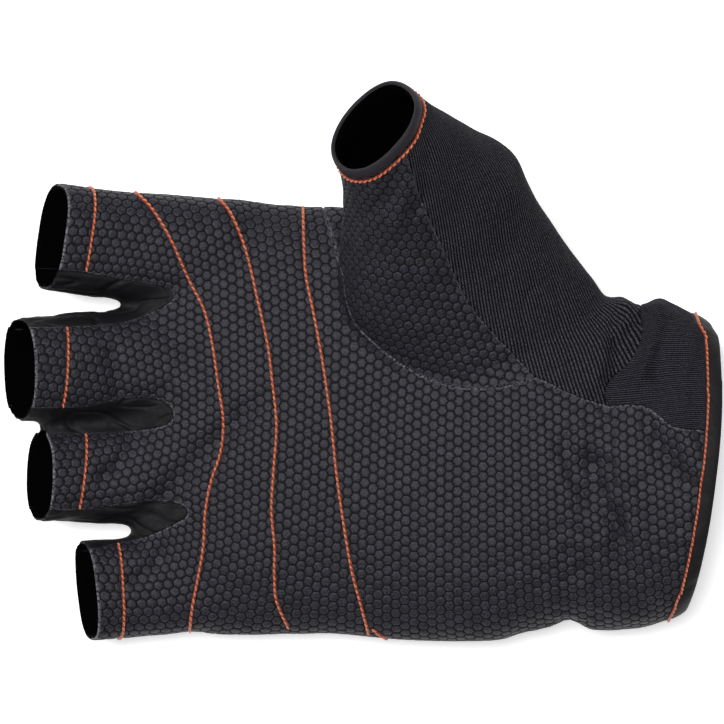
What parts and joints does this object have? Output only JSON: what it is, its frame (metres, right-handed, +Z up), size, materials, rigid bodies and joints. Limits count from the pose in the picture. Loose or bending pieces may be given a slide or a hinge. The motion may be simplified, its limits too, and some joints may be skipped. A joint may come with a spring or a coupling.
{
  "type": "fishing glove",
  "caption": "Fingerless right-hand fishing glove of embossed synthetic leather and stretch fabric, lying on its back, palm up, open at every finger and at the wrist.",
  "frame": {"origin": "middle of the box round the glove, on the surface that its back lies on", "axes": "+X from the finger openings to the wrist, +Y to the thumb's side, +Z up out of the palm"},
  "size_m": [0.172, 0.1349, 0.0629],
  "materials": {
    "palm_leather": "black synthetic leather embossed with small hexagons, soft sheen",
    "strip_leather": "black synthetic leather, finely grained",
    "back_fabric": "black stretch fabric, matt",
    "twill_fabric": "black stretch twill, fine diagonal ribs",
    "knit_fabric": "black ribbed knit, matt",
    "binding": "smooth black binding tape"
  },
  "bodies": {
    "root": {"palm_panel": "palm_leather", "back_panel": "back_fabric", "index_middle_gusset": "strip_leather", "middle_ring_gusset": "strip_leather", "ring_little_gusset": "strip_leather", "thumb_palm_panel": "palm_leather", "thumb_back_panel": "twill_fabric", "wrist_side_panel": "knit_fabric", "thumb_binding": "binding", "cuff_binding": "binding"}
  },
  "joints": []
}
